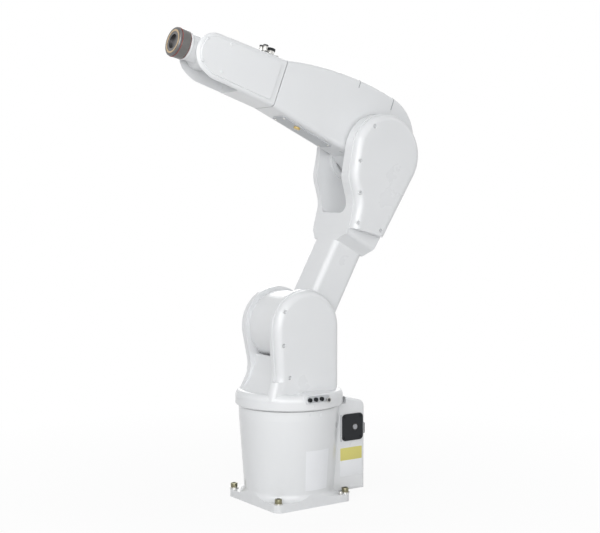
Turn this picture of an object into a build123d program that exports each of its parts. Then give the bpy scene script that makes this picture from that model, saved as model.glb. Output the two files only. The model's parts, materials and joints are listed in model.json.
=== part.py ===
"""Six-axis bench robot arm on a square foot, built from named subcomponents in millimetres, +Z up.

+X is the way the arm faces at rest, and +Y is the near side, with the brake button and the ports.
"""

import math
import os

from build123d import *

os.makedirs("parts", exist_ok=True)

# Axes and links, and the pose that the arm rests in (degrees).
shoulder_height = 399.0
lower_length = 448.0
roll_offset = 42.0
wrist_reach = 483.0
flange_reach = 82.0
lean_back = 29.0
forearm_rise = 21.0
tilt_drop = 7.0

# Working limits of the shoulder, which shape the slot that the lower arm swings in (degrees from upright).
lean_forward_limit = 130.0
lean_back_limit = 100.0

# Clearances: round faces in a joint, turning seams, moving pieces beside fixed ones, and split lines.
bearing_gap = 0.3
seam_gap = 2.0
running_clearance = 6.0
split_gap = 0.4

# Foot and drum.
foot_side = 206.0
foot_height = 18.0
foot_corner = 16.0
bolt_spacing = 184.0
bolt_hole_radius = 6.75
pad_radius = 15.0
drum_taper = 12.0
drum_top = 220.0
drum_band = 22.0
drum_flare = 14.0
yaw_land = 53.5
yaw_spigot_depth = 30.0
yaw_seal_inset = 3.0

# Connector box behind the drum.
box_reach = 38.5
box_width = 150.0
box_floor = 17.0
box_front_top = 237.0
box_rear_top = 222.0
box_top_run = 64.0
box_round = 18.0
box_edge = 7.0

# Rear panel and its plugs, placed from the panel's centre.
panel_height = 160.0
panel_width = 122.0
panel_centre = 112.0
panel_thickness = 3.0
panel_corner = 8.0
plug_height = 38.0
socket_height = -20.0
plug_side = 26.0
plug_flange = 5.0
power_width = 46.0
power_tall = 38.0
power_length = 16.0
signal_side = 30.0
signal_radius = 11.0
signal_length = 14.0
socket_width = 44.0
socket_tall = 26.0
socket_radius = 9.0
socket_bore = 6.0
socket_length = 9.0
inlet_pitch = 24.0
inlet_hex = 8.0
inlet_radius = 6.0
inlet_bore = 3.0
inlet_length = 8.0

# Brake panel on the near side of the box.
brake_width = 60.0
brake_height = 62.0
brake_corner = 10.0
brake_centre = 164.0
brake_dish_radius = 9.0
brake_dish_depth = 1.5
button_offset = 6.0
button_radius = 6.0
button_rise = 2.0
button_edge = 1.2
trim_width = 4.0
trim_height = 1.6

# Swing housing: turning collar, dome and cheeks.
collar_radius = 123.5
collar_overhang = 8.0
collar_height = 20.0
collar_edge = 3.0
dome_inset = 23.5
dome_height = 33.0
neck_height = 38.0
cheek_radius = 88.0
near_waist = 80.0
near_waist_height = 66.0
far_waist = 70.0
far_waist_height = 80.0
waist_round = 60.0
cheek_foot_front = 104.0
cheek_foot_height = 20.0
saddle_top = 60.0
saddle_top_height = 118.0
saddle_waist = 74.0
saddle_waist_height = 62.0
saddle_foot = 110.0
saddle_foot_height = 26.0
near_cheek_wall = 10.0
far_cheek_wall = 12.0
shoulder_pin_radius = 35.0
pin_end_wall = 6.0

# Shoulder covers and rings.
cover_inset = 2.0
near_cover_height = 40.0
far_cover_height = 73.0
near_cover_thickness = 21.0
far_cover_thickness = 9.0
near_cover_edge = 16.0
far_cover_edge = 6.0
screw_pocket_radius = 4.5
screw_pocket_depth = 9.0
shoulder_screws = ((65.0, 42.0), (69.0, -33.0), (53.0, -105.0))
ring_radius = 76.0
ring_width = 12.0

# Ports on the collar's near side.
port_boss_width = 64.0
port_boss_height = 21.0
port_boss_rise = 16.0
port_boss_corner = 8.0
port_boss_shift = 7.0
port_panel_thickness = 2.0
port_panel_margin = 3.0
port_radius = 4.6
port_bore = 3.0
port_length = 5.0
port_pitch = 16.0
fitting_radius = 3.4
fitting_length = 7.0
fitting_shift = 24.0
fitting_drop = 3.5

# Lower arm: the beam lies behind the line between its two axes.
hub_radius = 80.0
beam_half = 43.0
beam_front = 6.0
beam_rear = 80.0
beam_edge = 14.0
hub_edge = 5.0
elbow_radius = 95.0
fork_reach = 210.0
fork_tangent = 25.0
fork_knee = 68.0
fork_knee_reach = 96.0
fork_knee_round = 60.0
fork_waist = 24.0
fork_waist_reach = 140.0
fork_flare_reach = 226.0
fork_shoulder_reach = 206.0
flare_round = 12.0
near_elbow_wall = 26.0
far_elbow_wall = 14.0
elbow_pin_radius = 40.0
crotch_depth = 168.0
crotch_slope = 15.4
crotch_round = 20.0

# Elbow covers.
near_elbow_cover = 22.0
far_elbow_cover = 8.0
elbow_cover_reach = 196.0
elbow_cover_slope = 14.0
elbow_screws = ((70.5, 34.0), (68.0, -55.0), (32.0, -118.0), (4.0, -180.0), (-61.0, -166.0))
elbow_ring_radius = 66.0
elbow_ring_width = 12.0

# Forearm: heights above the elbow axis, lengths along the roll axis.
forearm_half = 42.0
seam_top = 62.0
seam_low = 50.0
forearm_crown = 147.0
forearm_crown_back = 8.0
forearm_bow = 134.0
forearm_bow_back = 111.0
forearm_tail = 104.0
forearm_tail_height = 62.0
forearm_hub_radius = 48.0
forearm_tail_tangent = 215.0
forearm_heel = 60.0
forearm_heel_tangent = -65.0
forearm_heel_drop = 25.0
arm_edge = 10.0
rear_cover_seam = 5.0
rear_cover_step = 70.0
rear_cover_back = 60.0
under_plate_width = 46.0
under_plate_start = 112.0
under_plate_end = 41.0
under_plate_thickness = 2.5
under_plate_corner = 6.0
top_plug_radius = 6.0
top_plug_height = 2.5
top_plug_place = 0.24
roll_spigot_radius = 30.0
roll_spigot_depth = 24.0
roll_seal_width = 7.0

# Wrist roll section.
wrist_length = 180.0
wrist_half = 41.0
wrist_wall = 4.5
wrist_end_radius = 48.0
wrist_end_shift = 5.0
wrist_jaw_back = 17.0
wrist_jaw_drop = 9.0
wrist_slot_depth = 84.0
wrist_cover_thickness = 2.5
wrist_cover_back = 176.0
wrist_cover_corner = 8.0
wrist_cover_edge = 1.5
connector_length = 44.0
connector_width = 46.0
connector_thickness = 4.0
connector_corner = 6.0
connector_back = 12.0
fitting_pitch = 15.0
air_fitting_radius = 5.5
air_fitting_bore = 2.5
air_fitting_height = 11.0
tool_socket_radius = 8.0
tool_socket_height = 13.0
tool_socket_wall = 1.5

# Wrist tilt and tool flange.
tilt_radius = 36.0
tilt_edge = 6.0
tilt_pin_radius = 14.0
neck_radius = 29.0
neck_root_radius = 30.0
tilt_collar_radius = 31.0
tilt_collar_width = 6.0
flange_radius = 31.5
flange_band_radius = 30.5
flange_band_width = 11.0
flange_spigot_radius = 12.0
flange_spigot_depth = 18.0
flange_thickness = 16.0
flange_edge = 1.5
pilot_radius = 15.75
pilot_depth = 6.0
tool_circle_radius = 25.0
tool_thread_radius = 2.5
tool_thread_depth = 9.0
tool_thread_count = 4

# Sizes that follow from the ones above.
slot_half = beam_half + running_clearance
near_cheek = slot_half + near_cheek_wall
far_cheek = slot_half + far_cheek_wall
fork_half = forearm_half + running_clearance
near_elbow = fork_half + near_elbow_wall
far_elbow = fork_half + far_elbow_wall
wrist_slot_half = wrist_half - wrist_wall
tilt_half = wrist_slot_half - running_clearance
flange_back = flange_reach - flange_thickness - flange_band_width
tilt_front = flange_back - seam_gap
collar_base = drum_top + seam_gap
axis_rise = shoulder_height - collar_base
roll_seam = wrist_reach - wrist_length
drum_top_radius = collar_radius - collar_overhang
drum_low_radius = drum_top_radius - drum_taper
yaw_spigot_radius = collar_radius - yaw_land
box_depth = collar_radius + box_reach
box_shoulder = box_depth - box_top_run
fork_start = lower_length - fork_reach
fork_flare_start = lower_length - fork_flare_reach
fork_flare_end = lower_length - fork_shoulder_reach
box_half = box_width / 2
CENTRE_LOW = (Align.CENTER, Align.CENTER, Align.MIN)
CENTRE_HIGH = (Align.CENTER, Align.CENTER, Align.MAX)


def heading(degrees):
    """Unit vector in the arm's plane, at an angle above +X."""
    return (math.cos(math.radians(degrees)), 0, math.sin(math.radians(degrees)))


def cheek_profile(waist, waist_height):
    """Side outline of a shoulder cheek: round head, waist in front and foot on the dome."""
    waist_level = waist_height - axis_rise
    foot_level = cheek_foot_height - axis_rise
    touch = math.atan2(waist_level, waist) + math.acos(cheek_radius / math.hypot(waist, waist_level))
    with BuildSketch() as profile:
        Circle(cheek_radius)
        with BuildLine():
            Polyline(
                (cheek_radius * math.cos(touch), cheek_radius * math.sin(touch)),
                (waist, waist_level),
                (cheek_foot_front, foot_level),
                (-cheek_radius, foot_level),
                (-cheek_radius, 0),
                close=True,
            )
        make_face()
        waist_corner = profile.vertices().sort_by_distance((waist, waist_level, 0))[0]
        fillet(waist_corner, radius=waist_round)
    return profile.sketch


def cover_profile(outline, cut, slope):
    """Outline of a screwed cover: the part of a casting's outline above a cut, set in at its edge."""
    with BuildSketch() as profile:
        add(outline)
        with Locations((0, cut)):
            Rectangle(
                4 * elbow_radius,
                2 * lower_length,
                rotation=slope,
                align=(Align.CENTER, Align.MIN),
                mode=Mode.INTERSECT,
            )
        offset(amount=-cover_inset, mode=Mode.REPLACE)
    return profile.sketch


# Side planes have local x forward and local y up, and face away from the near side.
away = (0, -1, 0)
base_side = Plane(origin=(0, 0, 0), x_dir=(1, 0, 0), z_dir=away)
swing_side = Plane(origin=(0, 0, shoulder_height), x_dir=(1, 0, 0), z_dir=away)
lower_side = Plane(origin=(0, 0, shoulder_height), x_dir=heading(lean_back), z_dir=away)
elbow_point = lower_side.from_local_coords(Vector(0, lower_length, 0))
upper_side = Plane(origin=elbow_point, x_dir=heading(forearm_rise), z_dir=away)
wrist_point = upper_side.from_local_coords(Vector(wrist_reach, roll_offset, 0))
roll_side = Plane(origin=wrist_point, x_dir=heading(forearm_rise), z_dir=away)

# Cross planes lie square to the beam, to the roll axis and to the tool axis.
lower_cross = Plane(
    origin=(0, 0, shoulder_height),
    x_dir=heading(lean_back),
    z_dir=heading(lean_back + 90),
)
lower_front = Plane(origin=(0, 0, shoulder_height), x_dir=(0, 1, 0), z_dir=heading(lean_back))
seam_point = upper_side.from_local_coords(Vector(roll_seam, roll_offset, 0))
roll_cross = Plane(origin=seam_point, x_dir=(0, 1, 0), z_dir=heading(forearm_rise))
tilt_side = Plane(origin=wrist_point, x_dir=heading(forearm_rise - tilt_drop), z_dir=away)
tool_cross = Plane(origin=wrist_point, x_dir=(0, 1, 0), z_dir=heading(forearm_rise - tilt_drop))

# Flared root of the drum, cut off square where it meets the foot's edges and the screw heads.
flare_dip = drum_flare * (1 - math.sqrt(0.5))
with BuildPart() as drum_root:
    with BuildSketch(base_side):
        with BuildLine():
            outside = Polyline(
                (0, foot_height + drum_flare),
                (0, foot_height),
                (drum_low_radius + drum_flare, foot_height),
            )
            flare = ThreePointArc(
                outside @ 1,
                (drum_low_radius + flare_dip, foot_height + flare_dip),
                (drum_low_radius, foot_height + drum_flare),
            )
            Line(flare @ 1, outside @ 0)
        make_face()
    revolve(axis=Axis.Z)
    with BuildSketch(Plane.XY.offset(foot_height)):
        Rectangle(foot_side, foot_side)
        with GridLocations(bolt_spacing, bolt_spacing, 2, 2):
            Circle(pad_radius, mode=Mode.SUBTRACT)
    extrude(amount=drum_flare, mode=Mode.INTERSECT)

# Base casting: connector box, conical drum and square foot.
with BuildPart() as base_casting:
    with BuildSketch(base_side.offset(-box_half)):
        with BuildLine():
            Polyline(
                (-drum_low_radius / 2, box_floor),
                (-box_depth, box_floor),
                (-box_depth, box_rear_top),
                (-box_shoulder, box_front_top),
                (-drum_low_radius / 2, box_front_top),
                close=True,
            )
        make_face()
    extrude(amount=box_width)
    rear_face_edges = base_casting.faces().sort_by(Axis.X)[0].edges()
    fillet(rear_face_edges.filter_by(Axis.Y).sort_by(Axis.Z)[-1], radius=box_round)
    side_edges = base_casting.faces().filter_by(Axis.Y).edges()
    fillet(side_edges.filter_by(lambda e: e.center().X < -box_shoulder), radius=box_edge)
    with BuildSketch(base_side):
        with BuildLine():
            Polyline(
                (0, foot_height),
                (drum_low_radius, foot_height),
                (drum_low_radius, foot_height + drum_flare),
                (drum_top_radius, drum_top - drum_band),
                (drum_top_radius, drum_top),
                (0, drum_top),
                close=True,
            )
        make_face()
    revolve(axis=Axis.Z)
    add(drum_root.part)
    with BuildSketch():
        RectangleRounded(foot_side, foot_side, foot_corner)
    extrude(amount=foot_height)
    with Locations((0, 0, drum_top)):
        Cylinder(collar_radius + running_clearance, box_front_top, align=CENTRE_LOW, mode=Mode.SUBTRACT)
        Cylinder(
            yaw_spigot_radius + bearing_gap,
            yaw_spigot_depth,
            align=CENTRE_HIGH,
            mode=Mode.SUBTRACT,
        )
    with GridLocations(bolt_spacing, bolt_spacing, 2, 2):
        Cylinder(bolt_hole_radius, foot_height, align=CENTRE_LOW, mode=Mode.SUBTRACT)
base_casting.part.label = "base_casting"
export_step(base_casting.part, "parts/base_casting.step")

# Dark seal ring in the yaw seam, lying on the drum.
with BuildPart() as yaw_seal:
    with BuildSketch(Plane.XY.offset(drum_top)):
        Circle(drum_top_radius - yaw_seal_inset)
        Circle(yaw_spigot_radius + running_clearance, mode=Mode.SUBTRACT)
    extrude(amount=seam_gap - bearing_gap)
yaw_seal.part.label = "yaw_seal"
export_step(yaw_seal.part, "parts/yaw_seal.step")

# Rear panel with its plugs, each standing on the panel.
rear_face = Plane(origin=(-box_depth, 0, panel_centre), x_dir=(0, -1, 0), z_dir=(-1, 0, 0))
rear_out = rear_face.offset(panel_thickness)
plug_out = rear_out.offset(plug_flange)
with BuildPart() as rear_panel:
    with BuildSketch(rear_face):
        RectangleRounded(panel_width, panel_height, panel_corner)
    extrude(amount=panel_thickness)
    fillet(rear_panel.faces().sort_by(Axis.X)[0].edges(), radius=panel_thickness / 3)
rear_panel.part.label = "rear_panel"
export_step(rear_panel.part, "parts/rear_panel.step")

with BuildPart() as power_plug:
    with BuildSketch(rear_out):
        with Locations((-plug_side, plug_height)):
            RectangleRounded(power_width, power_tall, plug_flange)
    extrude(amount=plug_flange)
    with BuildSketch(plug_out):
        with Locations((-plug_side, plug_height)):
            RectangleRounded(power_width - 2 * plug_flange, power_tall - 2 * plug_flange, plug_flange)
    extrude(amount=power_length)
power_plug.part.label = "power_plug"
export_step(power_plug.part, "parts/power_plug.step")

with BuildPart() as signal_plug:
    with BuildSketch(rear_out):
        with Locations((plug_side, plug_height)):
            RectangleRounded(signal_side, signal_side, plug_flange)
    extrude(amount=plug_flange)
    with BuildSketch(plug_out):
        with Locations((plug_side, plug_height)):
            Circle(signal_radius)
    extrude(amount=signal_length)
signal_plug.part.label = "signal_plug"
export_step(signal_plug.part, "parts/signal_plug.step")

with BuildPart() as rear_socket:
    with BuildSketch(rear_out):
        with Locations((-plug_side, socket_height)):
            RectangleRounded(socket_width, socket_tall, plug_flange)
    extrude(amount=plug_flange)
    with BuildSketch(plug_out):
        with Locations((-plug_side, socket_height)):
            Circle(socket_radius)
    extrude(amount=socket_length)
    with BuildSketch(plug_out.offset(socket_length)):
        with Locations((-plug_side, socket_height)):
            Circle(socket_bore)
    extrude(amount=-socket_length, mode=Mode.SUBTRACT)
rear_socket.part.label = "rear_socket"
export_step(rear_socket.part, "parts/rear_socket.step")

with BuildPart() as air_inlets:
    with BuildSketch(rear_out):
        with Locations((plug_side, socket_height)):
            with GridLocations(inlet_pitch, inlet_pitch, 2, 2):
                RegularPolygon(inlet_hex, 6)
    extrude(amount=plug_flange)
    with BuildSketch(plug_out):
        with Locations((plug_side, socket_height)):
            with GridLocations(inlet_pitch, inlet_pitch, 2, 2):
                Circle(inlet_radius)
                Circle(inlet_bore, mode=Mode.SUBTRACT)
    extrude(amount=inlet_length)
air_inlets.part.label = "air_inlets"
export_step(air_inlets.part, "parts/air_inlets.step")

# Brake panel with its release button, and a raised trim strip beside it on the box's near side.
brake_x = box_depth - box_edge - brake_width / 2
near_face = Plane(origin=(-brake_x, box_half, brake_centre), x_dir=(-1, 0, 0), z_dir=(0, 1, 0))
dish_face = near_face.offset(panel_thickness - brake_dish_depth)
with BuildPart() as brake_panel:
    with BuildSketch(near_face):
        RectangleRounded(brake_width, brake_height, brake_corner)
    extrude(amount=panel_thickness)
    fillet(brake_panel.faces().sort_by(Axis.Y)[-1].edges(), radius=panel_thickness / 3)
    with BuildSketch(dish_face):
        with Locations((button_offset, 0)):
            Circle(brake_dish_radius)
    extrude(amount=brake_dish_depth, mode=Mode.SUBTRACT)
brake_panel.part.label = "brake_panel"
export_step(brake_panel.part, "parts/brake_panel.step")

with BuildPart() as brake_button:
    with BuildSketch(dish_face):
        with Locations((button_offset, 0)):
            Circle(button_radius)
    extrude(amount=brake_dish_depth + button_rise)
    fillet(brake_button.faces().sort_by(Axis.Y)[-1].edges(), radius=button_edge)
brake_button.part.label = "brake_button"
export_step(brake_button.part, "parts/brake_button.step")

with BuildPart() as panel_trim:
    with BuildSketch(near_face):
        with Locations((-brake_width / 2 - split_gap, 0)):
            Rectangle(trim_width, brake_height, align=(Align.MAX, Align.CENTER))
    extrude(amount=trim_height)
panel_trim.part.label = "panel_trim"
export_step(panel_trim.part, "parts/panel_trim.step")

# Swing housing: turning collar and dome, two cheeks that hold the lower arm, and a hollow saddle between.
port_face = Plane(
    origin=(port_boss_shift, collar_radius, collar_base + port_boss_rise + port_boss_height / 2),
    x_dir=(-1, 0, 0),
    z_dir=(0, 1, 0),
)
near_profile = cheek_profile(near_waist, near_waist_height)
far_profile = cheek_profile(far_waist, far_waist_height)
with BuildPart() as swing_housing:
    with BuildSketch(base_side):
        with BuildLine():
            collar = Polyline(
                (0, collar_base),
                (collar_radius - collar_edge, collar_base),
                (collar_radius, collar_base + collar_edge),
                (collar_radius, collar_base + collar_height),
            )
            dome_end = (collar_radius - dome_inset, collar_base + dome_height)
            dome = TangentArc(collar @ 1, dome_end, tangent=collar % 1)
            Polyline(
                dome @ 1,
                (far_waist, collar_base + neck_height),
                (0, collar_base + neck_height),
                (0, collar_base),
            )
        make_face()
    revolve(axis=Axis.Z)
    with BuildSketch(swing_side.offset(-near_cheek)):
        add(near_profile)
    extrude(amount=near_cheek_wall)
    with BuildSketch(swing_side.offset(slot_half)):
        add(far_profile)
    extrude(amount=far_cheek_wall)
    with BuildSketch(swing_side.offset(-slot_half)):
        with BuildLine():
            saddle = ThreePointArc(
                (saddle_top, saddle_top_height - axis_rise),
                (saddle_waist, saddle_waist_height - axis_rise),
                (saddle_foot, saddle_foot_height - axis_rise),
            )
            Polyline(
                saddle @ 1,
                (-cheek_radius, saddle_foot_height - axis_rise),
                (-cheek_radius, saddle_top_height - axis_rise),
                saddle @ 0,
            )
        make_face()
    extrude(amount=2 * slot_half)
    with BuildSketch(port_face):
        RectangleRounded(port_boss_width, port_boss_height, port_boss_corner)
    extrude(amount=-collar_radius / 3)
    with BuildSketch(swing_side.offset(-slot_half)):
        Circle(hub_radius + running_clearance)
        with Locations((0, -hub_radius / 4)):
            Rectangle(3 * cheek_radius, 2 * cheek_radius, align=(Align.CENTER, Align.MIN))
        for lean in (lean_forward_limit, -lean_back_limit):
            Rectangle(
                beam_front + running_clearance,
                2 * collar_radius,
                rotation=-lean,
                align=(Align.MIN, Align.MIN),
            )
            Rectangle(
                beam_rear + running_clearance,
                2 * collar_radius,
                rotation=-lean,
                align=(Align.MAX, Align.MIN),
            )
    extrude(amount=2 * slot_half, mode=Mode.SUBTRACT)
    with BuildSketch(swing_side.offset(pin_end_wall - near_cheek)):
        Circle(shoulder_pin_radius + bearing_gap)
    extrude(amount=near_cheek + far_cheek - 2 * pin_end_wall, mode=Mode.SUBTRACT)
    with Locations((0, 0, collar_base)):
        Cylinder(yaw_spigot_radius, yaw_spigot_depth, align=CENTRE_HIGH)
swing_housing.part.label = "swing_housing"
export_step(swing_housing.part, "parts/swing_housing.step")

# Screwed covers on the outsides of the cheeks, rounded but for their straight lower edge.
with BuildPart() as shoulder_cover_near:
    with BuildSketch(swing_side.offset(-near_cheek - near_cover_thickness)):
        add(cover_profile(near_profile, near_cover_height - axis_rise, 0))
    extrude(amount=near_cover_thickness)
    outer_rim = shoulder_cover_near.faces().sort_by(Axis.Y)[-1].edges()
    fillet(outer_rim.sort_by(Axis.Z)[1:], radius=near_cover_edge)
    with BuildSketch(swing_side.offset(-near_cheek - near_cover_thickness)):
        with Locations(*shoulder_screws):
            Circle(screw_pocket_radius)
    extrude(amount=screw_pocket_depth, mode=Mode.SUBTRACT)
shoulder_cover_near.part.label = "shoulder_cover_near"
export_step(shoulder_cover_near.part, "parts/shoulder_cover_near.step")

with BuildPart() as shoulder_cover_far:
    with BuildSketch(swing_side.offset(far_cheek)):
        add(cover_profile(far_profile, far_cover_height - axis_rise, 0))
    extrude(amount=far_cover_thickness)
    outer_rim = shoulder_cover_far.faces().sort_by(Axis.Y)[0].edges()
    fillet(outer_rim.sort_by(Axis.Z)[1:], radius=far_cover_edge)
shoulder_cover_far.part.label = "shoulder_cover_far"
export_step(shoulder_cover_far.part, "parts/shoulder_cover_far.step")

# Lip rings on the cheeks' inner faces, running close to the hub of the lower arm.
ring_height = running_clearance - bearing_gap
with BuildPart() as shoulder_ring_near:
    with BuildSketch(swing_side.offset(-slot_half)):
        Circle(ring_radius)
        Circle(ring_radius - ring_width, mode=Mode.SUBTRACT)
    extrude(amount=ring_height)
shoulder_ring_near.part.label = "shoulder_ring_near"
export_step(shoulder_ring_near.part, "parts/shoulder_ring_near.step")

with BuildPart() as shoulder_ring_far:
    with BuildSketch(swing_side.offset(slot_half)):
        Circle(ring_radius)
        Circle(ring_radius - ring_width, mode=Mode.SUBTRACT)
    extrude(amount=-ring_height)
shoulder_ring_far.part.label = "shoulder_ring_far"
export_step(shoulder_ring_far.part, "parts/shoulder_ring_far.step")

# Port panel on the collar's boss, with three ports in a row and one small fitting.
port_out = port_face.offset(port_panel_thickness)
with BuildPart() as port_panel:
    with BuildSketch(port_face):
        RectangleRounded(
            port_boss_width - 2 * port_panel_margin,
            port_boss_height - 2 * port_panel_margin,
            port_boss_corner - port_panel_margin,
        )
    extrude(amount=port_panel_thickness)
port_panel.part.label = "port_panel"
export_step(port_panel.part, "parts/port_panel.step")

with BuildPart() as collar_ports:
    with BuildSketch(port_out):
        with Locations((port_boss_shift - port_pitch, 0)):
            with GridLocations(port_pitch, port_pitch, 3, 1):
                Circle(port_radius)
                Circle(port_bore, mode=Mode.SUBTRACT)
    extrude(amount=port_length)
collar_ports.part.label = "collar_ports"
export_step(collar_ports.part, "parts/collar_ports.step")

with BuildPart() as port_fitting:
    with BuildSketch(port_out):
        with Locations((fitting_shift, -fitting_drop)):
            Circle(fitting_radius)
    extrude(amount=fitting_length)
port_fitting.part.label = "port_fitting"
export_step(port_fitting.part, "parts/port_fitting.step")

# Elbow fork of the lower arm: a side outline and a front outline, intersected.
tangent_run = math.cos(math.radians(fork_tangent)) * elbow_radius
tangent_fall = math.sin(math.radians(fork_tangent)) * elbow_radius
with BuildSketch() as fork_outline:
    with Locations((0, lower_length)):
        Circle(elbow_radius)
    with BuildLine():
        Polyline(
            (beam_front, hub_radius),
            (beam_front, fork_start),
            (fork_waist, lower_length - fork_waist_reach),
            (fork_knee, lower_length - fork_knee_reach),
            (tangent_run, lower_length - tangent_fall),
            (0, lower_length),
            (-elbow_radius, lower_length),
            (-beam_rear, fork_flare_start),
            (-beam_rear, hub_radius),
            close=True,
        )
    make_face()
    bends = fork_outline.vertices().filter_by(lambda v: fork_waist - 1 < v.X < fork_knee + 1)
    fillet(bends, radius=fork_knee_round)

with BuildPart() as elbow_fork:
    with BuildSketch(lower_side.offset(-near_elbow)):
        add(fork_outline.sketch)
    extrude(amount=near_elbow + far_elbow)
    with BuildSketch(lower_front.offset(-2 * elbow_radius)) as front_outline:
        with BuildLine():
            Polyline(
                (0, fork_flare_start),
                (beam_half, fork_flare_start),
                (near_elbow, fork_flare_end),
                (near_elbow, 2 * lower_length),
                (-far_elbow, 2 * lower_length),
                (-far_elbow, fork_flare_end),
                (-beam_half, fork_flare_start),
                close=True,
            )
        make_face()
        shoulders = front_outline.vertices().filter_by(lambda v: abs(v.Y - fork_flare_end) < split_gap)
        fillet(shoulders, radius=flare_round)
    extrude(amount=4 * elbow_radius, mode=Mode.INTERSECT)

# Lower arm: round hub, beam with rounded edges, and the fork, which is cut out for the forearm.
with BuildPart() as lower_arm:
    with BuildSketch(lower_side.offset(-beam_half)):
        Circle(hub_radius)
    extrude(amount=2 * beam_half)
    fillet(lower_arm.edges().filter_by(GeomType.CIRCLE), radius=hub_edge)
    with BuildSketch(lower_cross):
        with Locations(((beam_front - beam_rear) / 2, 0)):
            RectangleRounded(beam_front + beam_rear, 2 * beam_half, beam_edge)
    extrude(amount=fork_start)
    add(elbow_fork.part)
    with BuildSketch(lower_side.offset(-fork_half)):
        with Locations((0, lower_length - crotch_depth)):
            Rectangle(
                4 * elbow_radius,
                2 * lower_length,
                rotation=crotch_slope,
                align=(Align.CENTER, Align.MIN),
            )
    extrude(amount=2 * fork_half, mode=Mode.SUBTRACT)
    crotch_edges = lower_arm.edges().filter_by(Axis((0, 0, 0), heading(lean_back + crotch_slope)))
    fillet(crotch_edges.filter_by(lambda e: abs(e.center().Y) < fork_half + 1), radius=crotch_round)
    with BuildSketch(lower_side.offset(pin_end_wall - near_elbow)):
        with Locations((0, lower_length)):
            Circle(elbow_pin_radius + bearing_gap)
    extrude(amount=near_elbow + far_elbow - 2 * pin_end_wall, mode=Mode.SUBTRACT)
    with BuildSketch(lower_side.offset(pin_end_wall + bearing_gap - near_cheek)):
        Circle(shoulder_pin_radius)
    extrude(amount=near_cheek + far_cheek - 2 * (pin_end_wall + bearing_gap))
lower_arm.part.label = "lower_arm"
export_step(lower_arm.part, "parts/lower_arm.step")

# Screwed covers on the outsides of the elbow fork, and lip rings on its insides.
elbow_cover = cover_profile(
    fork_outline.sketch,
    lower_length - elbow_cover_reach,
    -elbow_cover_slope,
)
with BuildPart() as elbow_cover_near:
    with BuildSketch(lower_side.offset(-near_elbow - near_elbow_cover)):
        add(elbow_cover)
    extrude(amount=near_elbow_cover)
    outer_rim = elbow_cover_near.faces().sort_by(Axis.Y)[-1].edges()
    fillet(outer_rim.sort_by(Axis.Z)[1:], radius=near_cover_edge)
    with BuildSketch(lower_side.offset(-near_elbow - near_elbow_cover)):
        with Locations((0, lower_length)):
            with Locations(*elbow_screws):
                Circle(screw_pocket_radius)
    extrude(amount=screw_pocket_depth, mode=Mode.SUBTRACT)
elbow_cover_near.part.label = "elbow_cover_near"
export_step(elbow_cover_near.part, "parts/elbow_cover_near.step")

with BuildPart() as elbow_cover_far:
    with BuildSketch(lower_side.offset(far_elbow)):
        add(elbow_cover)
    extrude(amount=far_elbow_cover)
    outer_rim = elbow_cover_far.faces().sort_by(Axis.Y)[0].edges()
    fillet(outer_rim.sort_by(Axis.Z)[1:], radius=far_cover_edge)
elbow_cover_far.part.label = "elbow_cover_far"
export_step(elbow_cover_far.part, "parts/elbow_cover_far.step")

with BuildPart() as elbow_ring_near:
    with BuildSketch(upper_side.offset(-fork_half)):
        Circle(elbow_ring_radius)
        Circle(elbow_ring_radius - elbow_ring_width, mode=Mode.SUBTRACT)
    extrude(amount=ring_height)
elbow_ring_near.part.label = "elbow_ring_near"
export_step(elbow_ring_near.part, "parts/elbow_ring_near.step")

with BuildPart() as elbow_ring_far:
    with BuildSketch(upper_side.offset(fork_half)):
        Circle(elbow_ring_radius)
        Circle(elbow_ring_radius - elbow_ring_width, mode=Mode.SUBTRACT)
    extrude(amount=-ring_height)
elbow_ring_far.part.label = "elbow_ring_far"
export_step(elbow_ring_far.part, "parts/elbow_ring_far.step")

# Forearm: one bowed body, split into the housing and the rear cover over the elbow motor.
crown_line = Edge.make_three_point_arc(
    Vector(roll_seam, roll_offset + seam_top),
    Vector(roll_seam - forearm_bow_back, forearm_bow),
    Vector(-forearm_crown_back, forearm_crown),
)
with BuildPart() as forearm_body:
    with BuildSketch(upper_side.offset(-forearm_half)):
        Circle(forearm_hub_radius)
        with BuildLine():
            add(crown_line)
            TangentArc(
                (-forearm_crown_back, forearm_crown),
                (-forearm_tail, forearm_tail_height),
                tangent=crown_line % 1,
            )
            Polyline(
                (-forearm_tail, forearm_tail_height),
                PolarLine((0, 0), forearm_hub_radius, forearm_tail_tangent, mode=Mode.PRIVATE) @ 1,
                PolarLine((0, 0), forearm_hub_radius, forearm_heel_tangent, mode=Mode.PRIVATE) @ 1,
                (forearm_heel, -forearm_heel_drop),
                (roll_seam, roll_offset - seam_low),
                (roll_seam, roll_offset + seam_top),
            )
        make_face()
    extrude(amount=2 * forearm_half)
    rims = forearm_body.faces().filter_by(Axis.Y).edges()
    fillet(rims.filter_by(lambda e: e.length > 2 * seam_top), radius=arm_edge)

with BuildSketch() as rear_region:
    with BuildLine():
        Polyline(
            (-rear_cover_seam, 2 * forearm_crown),
            (-rear_cover_seam, rear_cover_step),
            (-rear_cover_back, rear_cover_step),
            (-rear_cover_back, -forearm_crown),
            (-2 * forearm_crown, -forearm_crown),
            (-2 * forearm_crown, 2 * forearm_crown),
            close=True,
        )
    make_face()

with BuildPart() as forearm_housing:
    add(forearm_body.part)
    with BuildSketch(upper_side.offset(-2 * forearm_half)):
        add(rear_region.sketch)
    extrude(amount=4 * forearm_half, mode=Mode.SUBTRACT)
    with BuildSketch(upper_side.offset(pin_end_wall + bearing_gap - near_elbow)):
        Circle(elbow_pin_radius)
    extrude(amount=near_elbow + far_elbow - 2 * (pin_end_wall + bearing_gap))
    with BuildSketch(roll_cross):
        Circle(roll_spigot_radius + bearing_gap)
    extrude(amount=-roll_spigot_depth, mode=Mode.SUBTRACT)
forearm_housing.part.label = "forearm_housing"
export_step(forearm_housing.part, "parts/forearm_housing.step")

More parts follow.
